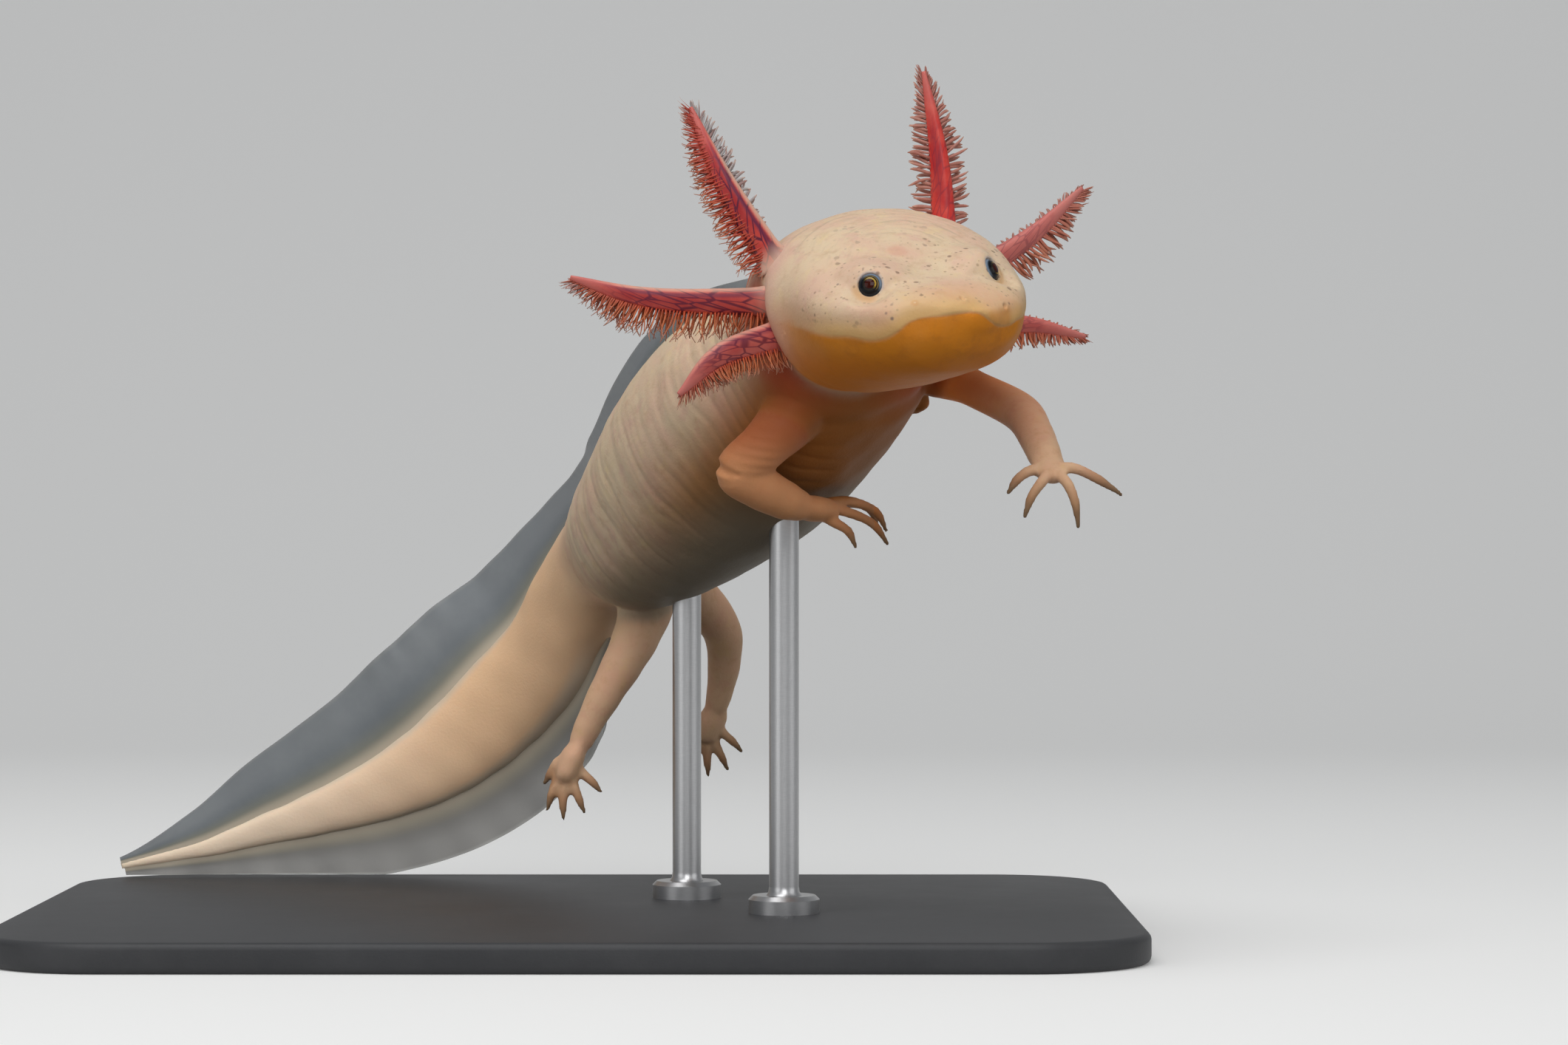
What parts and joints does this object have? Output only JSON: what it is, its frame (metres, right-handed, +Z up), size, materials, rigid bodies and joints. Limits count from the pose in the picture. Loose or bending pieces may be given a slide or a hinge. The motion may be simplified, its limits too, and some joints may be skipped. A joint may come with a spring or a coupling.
{
  "type": "axolotl model",
  "caption": "Life-size axolotl, head raised and forelegs reaching, tail laid along a flat display stand with slim rods under chest and belly.",
  "frame": {"origin": "middle of the underside of the stand's base", "axes": "+Z up; +Y away from the viewer the head half faces; +X towards the animal's reaching left foreleg"},
  "size_m": [0.188, 0.1377, 0.1463],
  "materials": {
    "skin": "moist pinkish cream skin, ochre under the jaw, with fine dark freckles on the head",
    "fin": "thin translucent blue-grey fin skin, cream where it joins the tail",
    "gill": "crimson gill stalks with salmon filaments that pale to their tips",
    "eye": "glossy dark eye with a thin gold ring",
    "stand_base": "matt charcoal painted aluminium plate with eased edges",
    "stand_rod": "brushed stainless steel rod with a turned foot"
  },
  "bodies": {
    "root": {"eye_right": "eye", "eye_left": "eye", "head": "skin", "neck": "skin", "trunk_front": "skin", "trunk_rear": "skin", "tail_root": "skin", "tail_middle": "skin", "tail_end": "skin", "fin_back": "fin", "fin_tail_upper_front": "fin", "fin_tail_upper_rear": "fin", "fin_tail_lower_front": "fin", "fin_tail_lower_rear": "fin", "arm_upper_right": "skin", "arm_fore_right": "skin", "hand_right": "skin", "arm_upper_left": "skin", "arm_fore_left": "skin", "hand_left": "skin", "thigh_right": "skin", "shin_right": "skin", "foot_right": "skin", "thigh_left": "skin", "shin_left": "skin", "foot_left": "skin", "gill_right_upper": "gill", "gill_right_middle": "gill", "gill_right_lower": "gill", "gill_left_upper": "gill", "gill_left_middle": "gill", "gill_left_lower": "gill", "stand_base": "stand_base", "stand_rod_front": "stand_rod", "stand_rod_rear": "stand_rod"}
  },
  "joints": []
}
